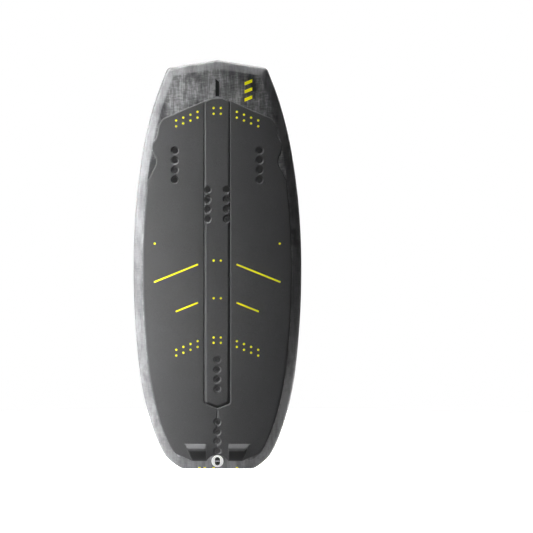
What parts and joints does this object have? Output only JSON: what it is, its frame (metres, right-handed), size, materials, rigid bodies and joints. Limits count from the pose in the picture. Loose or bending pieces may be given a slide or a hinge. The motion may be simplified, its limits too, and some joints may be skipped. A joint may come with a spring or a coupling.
{
  "type": "foil kiteboard",
  "caption": "Short hydrofoil kiteboard with a grooved foam deck pad, foot-strap inserts, a leash plug and twin foil tracks with sliding nuts in its bottom.",
  "frame": {"origin": "middle of the foil mount: on the flat bottom, midway between the two tracks and 238 mm from the tail end", "axes": "+Z from tail to nose, +Y out of the bottom, -Y out of the deck, +X to the right as seen from the deck"},
  "size_m": [0.439, 0.0662, 1.067],
  "materials": {
    "eva": "closed-cell EVA foam, brushed matte",
    "inlay_eva": "yellow EVA, matte",
    "deck_lacquer": "smudged silver-grey print under satin lacquer",
    "bottom_lacquer": "yellow print with dark smudges under gloss lacquer",
    "carbon": "carbon laminate, satin",
    "black_plastic": "moulded, satin",
    "white_plastic": "moulded, semi-gloss",
    "steel": "stainless",
    "core_foam": "expanded polystyrene beads",
    "dense_foam": "structural PVC foam"
  },
  "bodies": {
    "board": {"bottom_skin": "bottom_lacquer", "deck_skin": "deck_lacquer", "foam_core": "core_foam", "inlay_long_left": "inlay_eva", "inlay_long_right": "inlay_eva", "inlay_short_left": "inlay_eva", "inlay_short_right": "inlay_eva", "insert_block_front_left_inner": "dense_foam", "insert_block_front_left_outer": "dense_foam", "insert_block_front_right_inner": "dense_foam", "insert_block_front_right_outer": "dense_foam", "insert_block_rear_aft": "dense_foam", "insert_block_rear_forward": "dense_foam", "insert_front_left_inner_1": "black_plastic", "insert_front_left_inner_2": "black_plastic", "insert_front_left_inner_3": "black_plastic", "insert_front_left_inner_4": "black_plastic", "insert_front_left_outer_1": "black_plastic", "insert_front_left_outer_2": "black_plastic", "insert_front_left_outer_3": "black_plastic", "insert_front_left_outer_4": "black_plastic", "insert_front_right_inner_1": "black_plastic", "insert_front_right_inner_2": "black_plastic", "insert_front_right_inner_3": "black_plastic", "insert_front_right_inner_4": "black_plastic", "insert_front_right_outer_1": "black_plastic", "insert_front_right_outer_2": "black_plastic", "insert_front_right_outer_3": "black_plastic", "insert_front_right_outer_4": "black_plastic", "insert_rear_aft_1": "black_plastic", "insert_rear_aft_2": "black_plastic", "insert_rear_aft_3": "black_plastic", "insert_rear_aft_4": "black_plastic", "insert_rear_forward_1": "black_plastic", "insert_rear_forward_2": "black_plastic", "insert_rear_forward_3": "black_plastic", "insert_rear_forward_4": "black_plastic", "kick_left": "eva", "kick_right": "eva", "leash_cup": "white_plastic", "leash_pin": "steel", "pad_center": "eva", "pad_left": "eva", "pad_right": "eva", "stringer": "carbon", "stringer_strip_bottom": "carbon", "stringer_strip_deck": "carbon", "track_block_left": "dense_foam", "track_block_right": "dense_foam", "track_box_left": "black_plastic", "track_box_right": "black_plastic"},
    "nut_left_rear": {"track_nut_left_rear": "steel"},
    "nut_left_front": {"track_nut_left_front": "steel"},
    "nut_right_rear": {"track_nut_right_rear": "steel"},
    "nut_right_front": {"track_nut_right_front": "steel"}
  },
  "joints": [
    {"name": "nut_left_rear_slide", "type": "slide", "parent": "board", "child": "nut_left_rear", "axis": [0, 0, 1], "range_m": [-0.086, 0.07]},
    {"name": "nut_left_front_slide", "type": "slide", "parent": "board", "child": "nut_left_front", "axis": [0, 0, 1], "range_m": [-0.07, 0.0875]},
    {"name": "nut_right_rear_slide", "type": "slide", "parent": "board", "child": "nut_right_rear", "axis": [0, 0, 1], "range_m": [-0.086, 0.07]},
    {"name": "nut_right_front_slide", "type": "slide", "parent": "board", "child": "nut_right_front", "axis": [0, 0, 1], "range_m": [-0.07, 0.0875]}
  ]
}
